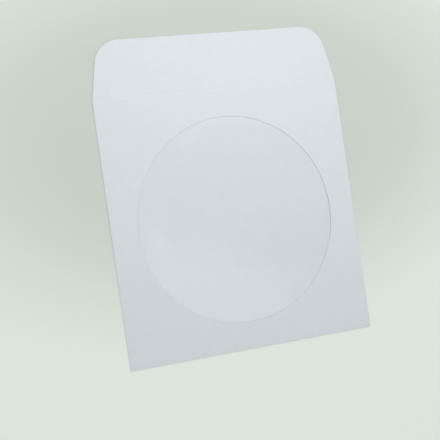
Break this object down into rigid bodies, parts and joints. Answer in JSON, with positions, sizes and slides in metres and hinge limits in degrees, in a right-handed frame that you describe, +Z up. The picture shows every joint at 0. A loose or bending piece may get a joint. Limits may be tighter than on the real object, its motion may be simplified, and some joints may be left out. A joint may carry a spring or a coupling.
{
  "type": "cd sleeve",
  "caption": "Square white paper sleeve for a 120 mm disc, folded from one die-cut sheet, with a round film window and an open top flap.",
  "frame": {"origin": "bottom centre of the whole sleeve with its flap open, on the surface that it lies on, under the middle of its 154 mm length", "axes": "+Z up, out of the window face; +Y from the bottom fold to the flap; +X to the right, seen from above with the flap at the top"},
  "size_m": [0.126, 0.154, 0.0008],
  "materials": {
    "paper": "uncoated smooth white wove paper, matte",
    "film": "clear glossy film, nearly invisible"
  },
  "bodies": {
    "root": {"paper_sleeve": "paper", "window_film": "film"}
  },
  "joints": []
}
